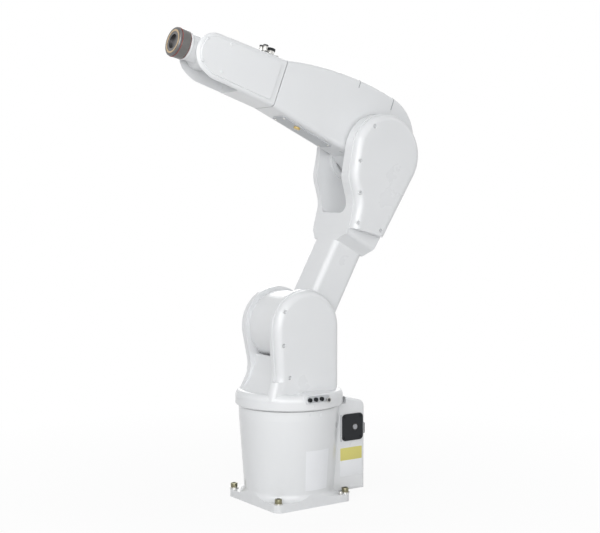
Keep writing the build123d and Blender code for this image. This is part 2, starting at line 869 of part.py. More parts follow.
with BuildPart() as forearm_rear_cover:
    add(forearm_body.part)
    with BuildSketch(upper_side.offset(-2 * forearm_half)):
        add(rear_region.sketch)
        offset(amount=-split_gap, mode=Mode.REPLACE)
    extrude(amount=4 * forearm_half, mode=Mode.INTERSECT)
forearm_rear_cover.part.label = "forearm_rear_cover"
export_step(forearm_rear_cover.part, "parts/forearm_rear_cover.step")

# Under plate, on the forearm's sloping underside.
heel_rise = forearm_heel_drop + roll_offset - seam_low
under_slope = math.degrees(math.atan2(heel_rise, roll_seam - forearm_heel))
heel_point = upper_side.from_local_coords(Vector(forearm_heel, -forearm_heel_drop, 0))
under_face = Plane(
    origin=heel_point,
    x_dir=heading(forearm_rise + under_slope),
    z_dir=heading(forearm_rise + under_slope - 90),
)
under_plate_length = roll_seam - under_plate_end - under_plate_start
with BuildPart() as forearm_under_plate:
    with BuildSketch(under_face):
        with Locations((under_plate_start - forearm_heel + under_plate_length / 2, 0)):
            RectangleRounded(under_plate_length, under_plate_width, under_plate_corner)
    extrude(amount=under_plate_thickness)
forearm_under_plate.part.label = "forearm_under_plate"
export_step(forearm_under_plate.part, "parts/forearm_under_plate.step")

# Plug in the forearm's top, lying on the bow.
plug_tangent = crown_line % top_plug_place
plug_rise = forearm_rise + math.degrees(math.atan2(plug_tangent.Y, plug_tangent.X)) - 90
top_plug_face = Plane(
    origin=upper_side.from_local_coords(crown_line @ top_plug_place),
    x_dir=(0, 1, 0),
    z_dir=heading(plug_rise),
)
with BuildPart() as top_plug:
    with BuildSketch(top_plug_face):
        Circle(top_plug_radius)
    extrude(amount=top_plug_height)
    fillet(top_plug.edges().sort_by(Axis.Z)[-1], radius=top_plug_height / 3)
top_plug.part.label = "top_plug"
export_step(top_plug.part, "parts/top_plug.step")

# Dark seal ring in the forearm's roll seam.
with BuildPart() as roll_seal:
    with BuildSketch(roll_cross):
        Circle(roll_spigot_radius + roll_seal_width)
        Circle(roll_spigot_radius + bearing_gap, mode=Mode.SUBTRACT)
    extrude(amount=seam_gap - bearing_gap)
roll_seal.part.label = "roll_seal"
export_step(roll_seal.part, "parts/roll_seal.step")

# Wrist fork: carries on the forearm's lines and ends in two thin cheeks round the tilt axis.
wrist_start = roll_seam + seam_gap - wrist_reach
with BuildSketch() as wrist_outline:
    with BuildLine():
        Line((wrist_start, seam_top), (wrist_start, -seam_low))
    with Locations((-wrist_end_shift, -wrist_end_shift), (-wrist_jaw_back, -wrist_jaw_drop)):
        Circle(wrist_end_radius)
    make_hull()

with BuildPart() as wrist_fork:
    with BuildSketch(roll_side.offset(-wrist_half)):
        add(wrist_outline.sketch)
    extrude(amount=2 * wrist_half)
    wrist_rims = wrist_fork.faces().filter_by(Axis.Y).edges()
    wrist_seam = wrist_rims.sort_by(Axis((0, 0, 0), heading(forearm_rise)))[:2]
    fillet([edge for edge in wrist_rims if edge not in wrist_seam], radius=arm_edge)
    with BuildSketch(roll_side.offset(-wrist_slot_half)):
        with Locations((-wrist_slot_depth, 0)):
            Rectangle(2 * wrist_slot_depth, 4 * wrist_end_radius, align=(Align.MIN, Align.CENTER))
    extrude(amount=2 * wrist_slot_half, mode=Mode.SUBTRACT)
    with BuildSketch(roll_side.offset(-wrist_half)):
        Circle(tilt_pin_radius + bearing_gap)
    extrude(amount=2 * wrist_half, mode=Mode.SUBTRACT)
    with BuildSketch(roll_cross.offset(seam_gap)):
        Circle(roll_spigot_radius)
    extrude(amount=-roll_spigot_depth)
wrist_fork.part.label = "wrist_fork"
export_step(wrist_fork.part, "parts/wrist_fork.step")

with BuildSketch() as wrist_cover:
    add(wrist_outline.sketch)
    with Locations((-wrist_cover_back, 0)):
        Rectangle(
            2 * wrist_cover_back,
            4 * wrist_end_radius,
            align=(Align.MIN, Align.CENTER),
            mode=Mode.INTERSECT,
        )
    fillet(wrist_cover.vertices().group_by(Axis.X)[0], radius=arm_edge + wrist_cover_corner)
    offset(amount=-arm_edge, mode=Mode.REPLACE)

with BuildPart() as wrist_cover_near:
    with BuildSketch(roll_side.offset(-wrist_half - wrist_cover_thickness)):
        add(wrist_cover.sketch)
    extrude(amount=wrist_cover_thickness)
    fillet(wrist_cover_near.faces().sort_by(Axis.Y)[-1].edges(), radius=wrist_cover_edge)
wrist_cover_near.part.label = "wrist_cover_near"
export_step(wrist_cover_near.part, "parts/wrist_cover_near.step")

with BuildPart() as wrist_cover_far:
    with BuildSketch(roll_side.offset(wrist_half)):
        add(wrist_cover.sketch)
    extrude(amount=wrist_cover_thickness)
    fillet(wrist_cover_far.faces().sort_by(Axis.Y)[0].edges(), radius=wrist_cover_edge)
wrist_cover_far.part.label = "wrist_cover_far"
export_step(wrist_cover_far.part, "parts/wrist_cover_far.step")

# Connector plate on top of the wrist, with air fittings and a socket for tools.
top_run = -wrist_end_shift - wrist_start
top_fall = seam_top + wrist_end_shift
top_tangent = math.asin(wrist_end_radius / math.hypot(top_run, top_fall))
top_slope = math.degrees(math.atan2(top_fall, top_run) - top_tangent)
plate_top = Plane(
    origin=roll_side.from_local_coords(Vector(wrist_start, seam_top, 0)),
    x_dir=heading(forearm_rise - top_slope),
    z_dir=heading(forearm_rise - top_slope + 90),
)
plate_middle = connector_back + connector_length / 2
with BuildPart() as connector_plate:
    with BuildSketch(plate_top):
        with Locations((plate_middle, 0)):
            RectangleRounded(connector_length, connector_width, connector_corner)
    extrude(amount=connector_thickness)
    fillet(connector_plate.faces().sort_by(Axis.Z)[-1].edges(), radius=connector_thickness / 4)
connector_plate.part.label = "connector_plate"
export_step(connector_plate.part, "parts/connector_plate.step")

fitting_base = plate_top.offset(connector_thickness)
with BuildPart() as air_fittings:
    with BuildSketch(fitting_base):
        with Locations((plate_middle + fitting_pitch * 2 / 3, 0)):
            with GridLocations(fitting_pitch, fitting_pitch, 1, 2):
                Circle(air_fitting_radius)
                Circle(air_fitting_bore, mode=Mode.SUBTRACT)
    extrude(amount=air_fitting_height)
air_fittings.part.label = "air_fittings"
export_step(air_fittings.part, "parts/air_fittings.step")

with BuildPart() as tool_socket:
    with BuildSketch(fitting_base):
        with Locations((plate_middle - fitting_pitch * 2 / 3, 0)):
            Circle(tool_socket_radius)
    extrude(amount=tool_socket_height)
    with BuildSketch(fitting_base.offset(tool_socket_height)):
        with Locations((plate_middle - fitting_pitch * 2 / 3, 0)):
            Circle(tool_socket_radius - tool_socket_wall)
    extrude(amount=-tool_socket_height / 2, mode=Mode.SUBTRACT)
tool_socket.part.label = "tool_socket"
export_step(tool_socket.part, "parts/tool_socket.step")

# Tilt housing: a drum on the tilt axis with a neck to the flange.
tool_axis = Axis(wrist_point, heading(forearm_rise - tilt_drop))
collar_back = tilt_front - tilt_collar_width
with BuildPart() as tilt_housing:
    with BuildSketch(tilt_side.offset(-tilt_half)):
        Circle(tilt_radius)
    extrude(amount=2 * tilt_half)
    fillet(tilt_housing.edges(), radius=tilt_edge)
    with BuildSketch(tilt_side):
        with BuildLine():
            Polyline((0, 0), (0, neck_root_radius), (collar_back, neck_radius), (collar_back, 0), close=True)
        make_face()
    revolve(axis=tool_axis)
    with BuildSketch(tilt_side.offset(bearing_gap - wrist_half)):
        Circle(tilt_pin_radius)
    extrude(amount=2 * (wrist_half - bearing_gap))
    with BuildSketch(tool_cross.offset(collar_back)):
        Circle(flange_spigot_radius + bearing_gap)
    extrude(amount=-flange_spigot_depth, mode=Mode.SUBTRACT)
tilt_housing.part.label = "tilt_housing"
export_step(tilt_housing.part, "parts/tilt_housing.step")

with BuildPart() as tilt_collar:
    with BuildSketch(tool_cross.offset(collar_back)):
        Circle(tilt_collar_radius)
        Circle(flange_spigot_radius + bearing_gap, mode=Mode.SUBTRACT)
    extrude(amount=tilt_collar_width)
    fillet(tilt_collar.edges().filter_by(GeomType.CIRCLE).group_by(SortBy.RADIUS)[-1], radius=flange_edge)
tilt_collar.part.label = "tilt_collar"
export_step(tilt_collar.part, "parts/tilt_collar.step")

# Tool flange: a bright band on a spigot, and the dark disc with the tool's pilot bore and threads.
with BuildPart() as flange_band:
    with BuildSketch(tool_cross.offset(flange_back)):
        Circle(flange_band_radius)
    extrude(amount=flange_band_width)
    with BuildSketch(tool_cross.offset(flange_back)):
        Circle(flange_spigot_radius)
    extrude(amount=-flange_spigot_depth)
flange_band.part.label = "flange_band"
export_step(flange_band.part, "parts/flange_band.step")

with BuildPart() as flange_disc:
    with BuildSketch(tool_cross.offset(flange_back + flange_band_width)):
        Circle(flange_radius)
    extrude(amount=flange_thickness)
    chamfer(flange_disc.edges().sort_by(tool_axis)[-1], length=flange_edge)
    with BuildSketch(tool_cross.offset(flange_reach)):
        Circle(pilot_radius)
    extrude(amount=-pilot_depth, mode=Mode.SUBTRACT)
    with BuildSketch(tool_cross.offset(flange_reach)):
        with PolarLocations(tool_circle_radius, tool_thread_count, start_angle=45):
            Circle(tool_thread_radius)
    extrude(amount=-tool_thread_depth, mode=Mode.SUBTRACT)
flange_disc.part.label = "flange_disc"
export_step(flange_disc.part, "parts/flange_disc.step")
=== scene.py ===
# %% [markdown]
# Dressing a bench robot arm.
# The castings, covers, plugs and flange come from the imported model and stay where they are.
# This lesson lights them, paints them, and adds what is too small for the castings: screws, washers,
# blank plates, seals, sockets and the bright and dark rings of the tool flange.
# One block also fills a step that the castings have below the shoulder.

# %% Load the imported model
import json
import math

import bpy
from mathutils import Matrix, Vector


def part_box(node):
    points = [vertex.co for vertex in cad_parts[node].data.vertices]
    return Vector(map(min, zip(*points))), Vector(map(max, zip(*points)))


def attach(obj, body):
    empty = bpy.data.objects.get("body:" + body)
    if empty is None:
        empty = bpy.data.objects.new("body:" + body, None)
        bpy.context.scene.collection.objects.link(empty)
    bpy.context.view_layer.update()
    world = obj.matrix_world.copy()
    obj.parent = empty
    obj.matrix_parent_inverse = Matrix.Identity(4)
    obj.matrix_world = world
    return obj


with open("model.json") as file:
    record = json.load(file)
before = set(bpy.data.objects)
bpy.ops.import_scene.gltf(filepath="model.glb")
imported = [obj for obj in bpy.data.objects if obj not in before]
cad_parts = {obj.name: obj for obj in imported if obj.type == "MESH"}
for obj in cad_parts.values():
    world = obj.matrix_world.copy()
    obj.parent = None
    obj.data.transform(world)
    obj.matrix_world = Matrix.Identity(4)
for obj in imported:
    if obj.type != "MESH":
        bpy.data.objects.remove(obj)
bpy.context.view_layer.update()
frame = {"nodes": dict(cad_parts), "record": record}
nodes = frame["nodes"]

# %% [markdown]
# The arm stands in a bent pose, so most pieces sit on slanted faces.
# Each link gets a matrix whose first column points along the link, whose third column points up from it,
# and whose second column is the near side. A screw is then placed with three plain numbers in its link.

# %% Frames of the links
LEAN, RISE, DROP = 29.0, 21.0, 7.0
SHOULDER_HEIGHT, LOWER_LENGTH = 0.399, 0.448
WRIST_REACH, ROLL_OFFSET = 0.483, 0.042
UP, NEAR, FAR, REAR = Vector((0, 0, 1)), Vector((0, 1, 0)), Vector((0, -1, 0)), Vector((-1, 0, 0))


def link_frame(origin, degrees):
    """Matrix of a link: x forward at an angle above the floor, y to the near side, z up from the link."""
    c, s = math.cos(math.radians(degrees)), math.sin(math.radians(degrees))
    return Matrix(((c, 0, -s, origin[0]), (0, 1, 0, origin[1]), (s, 0, c, origin[2]), (0, 0, 0, 1)))


SHOULDER = Matrix.Translation((0, 0, SHOULDER_HEIGHT))
LOWER = link_frame((0, 0, SHOULDER_HEIGHT), LEAN)
UPPER = link_frame(LOWER @ Vector((0, 0, LOWER_LENGTH)), RISE)
WRIST = link_frame(UPPER @ Vector((WRIST_REACH, 0, ROLL_OFFSET)), RISE)
TOOL = link_frame(WRIST.translation, RISE - DROP)
print("elbow", [round(v, 4) for v in UPPER.translation], "wrist", [round(v, 4) for v in WRIST.translation])

# %% [markdown]
# The photograph was taken from a little above the middle, with a long lens, so the camera stands far off.
# A direction and a distance from one target point are easier to tune than a place and three angles.

# %% Camera
AZIMUTH, ELEVATION = math.radians(144.96), math.radians(3.45)
CAMERA_DISTANCE, TARGET_RIGHT, TARGET_HEIGHT = 2.7376, 0.025, 0.5351
SENSOR_WIDTH, LENS_LENGTH = 36, 72

to_camera = Vector((
    math.sin(AZIMUTH) * math.cos(ELEVATION),
    -math.cos(AZIMUTH) * math.cos(ELEVATION),
    math.sin(ELEVATION),
))
camera_right = Vector((math.cos(AZIMUTH), math.sin(AZIMUTH), 0))
camera_up = to_camera.cross(camera_right)
target = camera_right * TARGET_RIGHT + Vector((0, 0, TARGET_HEIGHT))

lens = bpy.data.cameras.new("photo_camera")
lens.sensor_width = SENSOR_WIDTH
lens.lens = LENS_LENGTH
camera = bpy.data.objects.new("photo_camera", lens)
bpy.context.collection.objects.link(camera)
camera.matrix_world = Matrix.Translation(target + to_camera * CAMERA_DISTANCE) @ Matrix((
    (camera_right.x, camera_up.x, to_camera.x, 0),
    (camera_right.y, camera_up.y, to_camera.y, 0),
    (camera_right.z, camera_up.z, to_camera.z, 0),
    (0, 0, 0, 1),
))
bpy.context.scene.camera = camera
print("camera at", [round(v, 3) for v in camera.matrix_world.translation])

# %% [markdown]
# Node materials are easier to read as sums and products than as boxes and wires.
# One small class holds an output socket. Arithmetic on it adds Math nodes, and `node` adds any other node.
# Colours are mixed with Mix nodes, because a Math node would turn them grey.

# %% A socket that can be calculated with
class Wire:
    """One output socket of a node tree."""

    def __init__(self, tree, socket=None):
        self.tree = tree
        self.socket = socket

    def node(self, kind, settings=None, inputs=None, output=0):
        """Add a node of this kind, with its settings first and then its sockets' values or links."""
        added = self.tree.nodes.new(kind)
        for key, value in (settings or {}).items():
            if key == "stops":
                for stop, (place, colour) in zip(ramp_stops(added, len(value)), value):
                    stop.position = place
                    stop.color = colour
            else:
                setattr(added, key, value)
        for key, value in (inputs or {}).items():
            if isinstance(value, Wire):
                self.tree.links.new(value.socket, added.inputs[key])
            else:
                added.inputs[key].default_value = value
        return Wire(self.tree, added.outputs[output] if added.outputs else None)

    def math(self, operation, first, second=0.0):
        return self.node("ShaderNodeMath", {"operation": operation}, {0: first, 1: second})

    def __add__(self, other):
        return self.math("ADD", self, other)

    __radd__ = __add__

    def __mul__(self, other):
        return self.math("MULTIPLY", self, other)

    __rmul__ = __mul__

    def __sub__(self, other):
        return self.math("SUBTRACT", self, other)

    def __rsub__(self, other):
        return self.math("SUBTRACT", other, self)


def ramp_stops(added, count):
    """The stops of a colour ramp, with as many as asked for."""
    stops = added.color_ramp.elements
    while len(stops) < count:
        stops.new(1.0)
    return stops


def place_wire(tree):
    """Object coordinates, which are the place on the whole arm in metres."""
    return Wire(tree).node("ShaderNodeTexCoord", output="Object")


def noise(place, scale, detail=2.0, rough=0.5):
    return place.node(
        "ShaderNodeTexNoise", None, {"Vector": place, "Scale": scale, "Detail": detail, "Roughness": rough}
    )


def rings_of(place, distance, scale, detail=2.0):
    """A noise that changes only with a distance, so that it draws rings or bands."""
    return place.node(
        "ShaderNodeTexNoise", {"noise_dimensions": "1D"}, {"W": distance, "Scale": scale, "Detail": detail}
    )


def blend(place, amount, first, second):
    """A mix of two colours, each given as four numbers or as a socket."""
    return place.node("ShaderNodeMix", {"data_type": "RGBA"}, {0: amount, 6: first, 7: second}, 2)


def tint(place, amount, first, second):
    """A colour between two plain ones."""
    return blend(place, amount, (*first, 1), (*second, 1))


def ramp(place, value, low, high):
    """A value squeezed to 0 below low and to 1 above high."""
    return place.node("ShaderNodeMapRange", None, {0: value, 1: low, 2: high, 3: 0.0, 4: 1.0})


def vector_math(place, operation, first, second, output=0):
    return place.node("ShaderNodeVectorMath", {"operation": operation}, {0: first, 1: tuple(second)}, output)


def along(place, direction, origin=(0, 0, 0)):
    """Distance along a direction from a point."""
    moved = vector_math(place, "SUBTRACT", place, origin)
    return vector_math(place, "DOT_PRODUCT", moved, direction, 1)


def off_axis(place, direction, origin):
    """Distance from a line through a point."""
    moved = vector_math(place, "SUBTRACT", place, origin)
    crossed = vector_math(place, "CROSS_PRODUCT", moved, direction)
    return place.node("ShaderNodeVectorMath", {"operation": "LENGTH"}, {0: crossed}, 1)


def bump(place, height, distance, strength):
    return place.node("ShaderNodeBump", None, {"Height": height, "Distance": distance, "Strength": strength})


def finish_of(name, constants, build):
    """A material: constants on the shader's own sockets, and what `build` returns on the others."""
    material = bpy.data.materials.new(name)
    material.use_nodes = True
    shader = material.node_tree.nodes["Principled BSDF"]
    for key, value in constants.items():
        shader.inputs[key].default_value = value
    place = place_wire(material.node_tree)
    for key, value in build(place).items():
        material.node_tree.links.new(value.socket, shader.inputs[key])
    return material


print("material tools ready")

# %% [markdown]
# Factory robots are sprayed with a hard gloss enamel. It is never quite even: the film has a faint
# orange-peel ripple a couple of millimetres wide, the gloss drifts a little from place to place, and handling
# leaves soft grey smudges. Within 10 cm of the floor the paint is also darker in patches, which is painted
# shade where the arm stands on the floor. All of these are noises at their real size, since Object coordinates
# are in metres. Panels get a duller satin paint with a fine speckle.

# %% White enamel and panel paint
FLOOR_SHADE_HEIGHT = 0.10


def white_enamel(place):
    cloud = noise(place, 7.0, 3.0)
    smudge = ramp(place, noise(place, 24.0, 4.0, 0.6), 0.50, 0.85)
    peel = noise(place, 420.0, 1.0)
    # Painted shade: the paint gets darker in patches towards the floor, within its lowest 10 cm.
    near_floor = ramp(place, FLOOR_SHADE_HEIGHT - along(place, UP), 0.0, FLOOR_SHADE_HEIGHT)
    floor_shade_patches = near_floor * ramp(place, noise(place, 60.0, 3.0), 0.4, 0.7)
    shade = ramp(place, cloud, 0.3, 0.7) * 0.5 + smudge * 0.05 + floor_shade_patches * 0.4
    return {
        "Base Color": tint(place, shade, (0.765, 0.775, 0.785), (0.715, 0.725, 0.735)),
        "Roughness": 0.24 + cloud * 0.10 + smudge * 0.05,
        "Normal": bump(place, peel, 0.00012, 0.35),
    }


def satin_panel(place):
    speckle = noise(place, 900.0, 2.0)
    cloud = noise(place, 18.0, 3.0)
    return {
        "Base Color": tint(place, cloud, (0.50, 0.515, 0.535), (0.57, 0.585, 0.60)),
        "Roughness": 0.42 + speckle * 0.12,
        "Normal": bump(place, speckle, 0.00015, 0.5),
    }


enamel = finish_of("white_enamel", {"Coat Weight": 0.35, "Coat Roughness": 0.08}, white_enamel)
panel_paint = finish_of("satin_panel_paint", {}, satin_panel)
print("paints:", enamel.name, panel_paint.name)

# %% [markdown]
# Plastics and rubbers differ by their grain: a moulded connector has a fine spark-eroded texture, a rubber seal
# is nearly smooth but dull, and a front panel is glossy. One function makes them all, from two colours, the
# number of lumps in a metre, the roughness and the depth of the grain.

# %% Plastics and rubber
def moulded(name, first, second, grain, rough, depth, **constants):
    """A moulded plastic or rubber; further values go to the shader's sockets of the same names."""
    def build(place):
        lumps = noise(place, grain, 2.0, 0.6)
        cloud = noise(place, 30.0, 3.0)
        return {
            "Base Color": tint(place, cloud, first, second),
            "Roughness": rough + lumps * 0.15,
            "Normal": bump(place, lumps, depth, 0.6),
        }
    return finish_of(name, {key.replace("_", " "): value for key, value in constants.items()}, build)


seal_rubber = moulded("seal_rubber", (0.016, 0.016, 0.018), (0.035, 0.034, 0.033), 500.0, 0.60, 0.0001)
plug_plastic = moulded("plug_plastic", (0.030, 0.031, 0.034), (0.045, 0.046, 0.050), 1400.0, 0.42, 0.0001)
panel_plastic = moulded(
    "panel_plastic", (0.006, 0.008, 0.010), (0.010, 0.013, 0.016), 1800.0, 0.34, 0.00005, Specular_IOR_Level=0.3
)
button_plastic = moulded("button_plastic", (0.30, 0.31, 0.33), (0.36, 0.37, 0.39), 1500.0, 0.34, 0.00005)
amber_lens = moulded(
    "amber_lens", (0.55, 0.38, 0.09), (0.62, 0.44, 0.13), 700.0, 0.20, 0.00005, Coat_Weight=0.4
)
release_blue = moulded("release_blue", (0.045, 0.10, 0.24), (0.06, 0.13, 0.29), 1200.0, 0.30, 0.00005)
seal_red = moulded("seal_red", (0.26, 0.040, 0.032), (0.34, 0.060, 0.048), 900.0, 0.45, 0.00005)
blank_vinyl = moulded(
    "blank_vinyl", (0.80, 0.81, 0.83), (0.85, 0.86, 0.88), 1600.0, 0.38, 0.00003, Coat_Weight=0.1
)
yellow_vinyl = moulded(
    "yellow_vinyl", (0.66, 0.60, 0.17), (0.72, 0.66, 0.21), 1600.0, 0.38, 0.00003, Coat_Weight=0.1
)
print("plastics ready")

# %% [markdown]
# Turned steel shows rings left by the lathe. On the flange they run round the tool axis, so the noise is read
# from two plain distances: along that axis, and out from it. Plated fittings get an even, cloudy gloss, and the
# foot's screws get a yellow passivated zinc that drifts between olive, straw and a hint of pink.

# %% Metals
TOOL_AXIS = TOOL.to_3x3() @ Vector((1, 0, 0))


def turned(name, first, second, rough):
    """Steel turned about the tool axis, between two colours."""
    def build(place):
        far = along(place, TOOL_AXIS, TOOL.translation)
        out = off_axis(place, TOOL_AXIS, TOOL.translation)
        rings = rings_of(place, far + out, 2600.0, 3.0)
        stain = noise(place, 90.0, 4.0, 0.6)
        return {
            "Base Color": tint(place, stain, first, second),
            "Roughness": rough + rings * 0.12 + stain * 0.06,
            "Normal": bump(place, rings, 0.00001, 0.5),
        }
    return finish_of(name, {"Metallic": 1.0}, build)


def plated_nickel(place):
    cloud = noise(place, 160.0, 4.0, 0.6)
    return {
        "Base Color": tint(place, cloud, (0.62, 0.61, 0.58), (0.50, 0.50, 0.49)),
        "Roughness": 0.24 + cloud * 0.18,
    }


def yellow_zinc(place):
    drift = noise(place, 130.0, 3.0)
    grime = ramp(place, noise(place, 420.0, 4.0, 0.65), 0.52, 0.75)
    base = place.node("ShaderNodeValToRGB", {"stops": (
        (0.30, (0.13, 0.13, 0.08, 1)), (0.50, (0.24, 0.23, 0.15, 1)), (0.72, (0.22, 0.19, 0.14, 1)),
    )}, {0: drift})
    return {
        "Base Color": blend(place, grime * 0.6, base, (0.10, 0.09, 0.07, 1)),
        "Roughness": 0.28 + grime * 0.25,
    }


def tan_bronze(place):
    rings = rings_of(place, off_axis(place, TOOL_AXIS, TOOL.translation), 3000.0)
    stain = noise(place, 140.0, 3.0)
    return {
        "Base Color": tint(place, stain, (0.62, 0.48, 0.31), (0.50, 0.38, 0.24)),
        "Roughness": 0.30 + rings * 0.2,
    }


bright_steel = turned("bright_turned_steel", (0.21, 0.205, 0.20), (0.15, 0.147, 0.143), 0.06)
dark_steel = turned("dark_turned_steel", (0.23, 0.225, 0.225), (0.13, 0.128, 0.13), 0.30)
nickel = finish_of("plated_nickel", {"Metallic": 1.0}, plated_nickel)
zinc = finish_of("yellow_zinc", {"Metallic": 1.0}, yellow_zinc)
bronze = finish_of("tan_bronze", {"Metallic": 0.8}, tan_bronze)
print("metals ready")

# %% [markdown]
# The castings keep their meshes and only get these finishes.
# The record names a slot for each one, which says what it is made of.

# %% Finishes on the castings
finishes = {
    "white_paint": enamel,
    "dark_rubber": seal_rubber,
    "dark_plastic": plug_plastic,
    "black_plastic": panel_plastic,
    "grey_plastic": button_plastic,
    "plated_metal": nickel,
    "panel_grey": panel_paint,
    "bright_steel": bright_steel,
    "dark_steel": dark_steel,
}
for subpart in frame["record"]["subparts"]:
    casting = nodes[subpart["node"]]
    casting.data.materials.clear()
    casting.data.materials.append(finishes[subpart["material_slot"]])

# %% [markdown]
# Operators act on whatever is selected, and the loaded castings start out selected.
# So every piece begins with nothing selected, and faces or edges are then picked in code by where they are.

# %% Picking faces and edges
def fresh():
    """Leave edit mode and select nothing."""
    if bpy.context.object and bpy.context.object.mode != "OBJECT":
        bpy.ops.object.mode_set(mode="OBJECT")
    bpy.ops.object.select_all(action="DESELECT")


def pick_faces(piece, test):
    """Edit mode, with the faces selected whose centre and normal pass the test."""
    bpy.ops.object.mode_set(mode="OBJECT")
    for part in (*piece.data.vertices, *piece.data.edges):
        part.select = False
    for face in piece.data.polygons:
        face.select = test(face.center, face.normal)
    bpy.context.tool_settings.mesh_select_mode = (False, False, True)
    bpy.ops.object.mode_set(mode="EDIT")


def pick_edges(piece, test):
    """Edit mode, with the edges selected whose two ends pass the test."""
    bpy.ops.object.mode_set(mode="OBJECT")
    points = piece.data.vertices
    for part in (*points, *piece.data.polygons):
        part.select = False
    for edge in piece.data.edges:
        edge.select = test(points[edge.vertices[0]].co, points[edge.vertices[1]].co)
    bpy.context.tool_settings.mesh_select_mode = (False, True, False)
    bpy.ops.object.mode_set(mode="EDIT")


print("picking tools ready")

# %% [markdown]
# Most small pieces start as a block, a disc or a ring. Each of these stands on z = 0 with its top edge
# softened, because a sharp edge never catches the light. A ring could be cut with a boolean, but an inset and
# a bridge keep its faces even.

# %% Blocks, discs and rings
def named_primitive(name):
    """The primitive that was just added, with its place and size moved into its mesh."""
    piece = bpy.context.object
    piece.name = name
    bpy.ops.object.transform_apply(location=True, rotation=True, scale=True)
    return piece


def round_block(name, size, corner, edge):
    """A block on z = 0 with rounded upright corners and a softened top edge."""
    fresh()
    bpy.ops.mesh.primitive_cube_add(size=1, location=(0, 0, size[2] / 2), scale=size)
    block = named_primitive(name)
    pick_edges(block, lambda a, b: abs(a.z - b.z) > size[2] / 2)
    bpy.ops.mesh.bevel(offset=corner, segments=5, affect="EDGES")
    pick_edges(block, lambda a, b: min(a.z, b.z) > size[2] * 0.99)
    bpy.ops.mesh.bevel(offset=edge, segments=2, affect="EDGES")
    fresh()
    return block


def round_bar(name, radius, height, sides):
    """A plain cylinder on z = 0, to be shaped further."""
    fresh()
    bpy.ops.mesh.primitive_cylinder_add(
        vertices=sides, radius=radius, depth=height, location=(0, 0, height / 2)
    )
    return named_primitive(name)


def round_disc(name, radius, height, edge, sides=36):
    """A disc on z = 0 with a softened top edge."""
    disc = round_bar(name, radius, height, sides)
    pick_edges(disc, lambda a, b: min(a.z, b.z) > height * 0.99)
    bpy.ops.mesh.bevel(offset=edge, segments=2, affect="EDGES")
    fresh()
    return disc


def sink(piece, top, inset, depth):
    """Sink the top face of a disc or block: inset its rim, and push the middle down."""
    bpy.context.view_layer.objects.active = piece
    pick_faces(piece, lambda centre, normal: normal.z > 0.9 and centre.z > top - 1e-5)
    bpy.ops.mesh.inset(thickness=inset, depth=0)
    bpy.ops.mesh.extrude_region_move(TRANSFORM_OT_translate={"value": (0, 0, -depth)})
    fresh()


def ring_band(name, outer, inner, height, edge, sides=64):
    """A flat ring on z = 0: a cylinder's ends are inset and taken out, and the two holes are bridged."""
    band = round_bar(name, outer, height, sides)
    pick_faces(band, lambda centre, normal: abs(normal.z) > 0.9)
    bpy.ops.mesh.inset(thickness=outer - inner, depth=0)
    bpy.ops.mesh.delete(type="FACE")
    reach = inner * 1.01

    def out(point):
        return math.hypot(point.x, point.y)

    pick_edges(band, lambda a, b: max(out(a), out(b)) < reach)
    bpy.ops.mesh.bridge_edge_loops()
    pick_edges(band, lambda a, b: min(a.z, b.z) > height * 0.99 and abs(out(a) - out(b)) < edge)
    bpy.ops.mesh.bevel(offset=edge, segments=2, affect="EDGES")
    bpy.ops.mesh.select_all(action="SELECT")
    bpy.ops.mesh.normals_make_consistent(inside=False)
    fresh()
    return band


def thicken(piece, thickness, offset):
    """Give the active sheet a thickness, inward for an offset of -1 and outward for 1."""
    wall = piece.modifiers.new("thickness", "SOLIDIFY")
    wall.thickness = thickness
    wall.offset = offset
    bpy.ops.object.modifier_apply(modifier=wall.name)
    return piece


def cut(piece, tool):
    """Cut one piece out of another, and throw the cutter away."""
    fresh()
    bpy.context.view_layer.objects.active = piece
    piece.select_set(True)
    boolean = piece.modifiers.new("cut", "BOOLEAN")
    boolean.operation = "DIFFERENCE"
    boolean.object = tool
    bpy.ops.object.modifier_apply(modifier=boolean.name)
    bpy.data.objects.remove(tool, do_unlink=True)
    return piece


print("shaping tools ready")

# %% [markdown]
# What repeats is modelled once at the origin and copied to its places, each copy with its own mesh.
# The copies are joined to one piece, which is smoothed, gets its finish and then rides on its body.

# %% Placing and finishing a piece
SMOOTH_ANGLE = 35.0


def facing(normal, at, spin=0.0):
    """Matrix that turns a piece's z axis to a normal and moves it to a place."""
    turn = UP.rotation_difference(Vector(normal)).to_matrix().to_4x4()
    return Matrix.Translation(Vector(at)) @ turn @ Matrix.Rotation(math.radians(spin), 4, "Z")


def copies(source, places):
    """One piece made of copies of a source at these matrices; the source goes, and its name stays."""
    name = source.name
    made = []
    for place in places:
        copy = source.copy()
        copy.data = source.data.copy()
        copy.data.transform(place)
        bpy.context.collection.objects.link(copy)
        made.append(copy)
    bpy.data.objects.remove(source, do_unlink=True)
    fresh()
    for copy in made:
        copy.select_set(True)
    bpy.context.view_layer.objects.active = made[0]
    if len(made) > 1:
        bpy.ops.object.join()
    joined = bpy.context.view_layer.objects.active
    joined.name = name
    return joined


def settle(piece, body, finish, angle=SMOOTH_ANGLE):
    """Smooth a finished piece, give it its finish, and let it ride on its body."""
    fresh()
    piece.select_set(True)
    bpy.context.view_layer.objects.active = piece
    bpy.ops.object.shade_smooth_by_angle(angle=math.radians(angle))
    piece.data.materials.clear()
    piece.data.materials.append(finish)
    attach(piece, body)
    print(piece.name, "faces:", len(piece.data.polygons))


def put(source, places, body, finish, angle=SMOOTH_ANGLE):
    """Copy a source to its places and settle the copies as one piece."""
    settle(copies(source, places), body, finish, angle)


def halfway(box, axis):
    """The middle of a casting's box along one axis."""
    return (box[0][axis] + box[1][axis]) / 2


print("placing tools ready")

# %% [markdown]
# Socket-head screws hold the foot down and the covers on. Each is a cylinder with a softened rim, and a
# hexagonal prism is cut out of its head. A boolean gives a crisp hexagon, where an inset would only give a
# smaller circle. The four foot screws stand on washers, and a small earthing screw stands beside them.

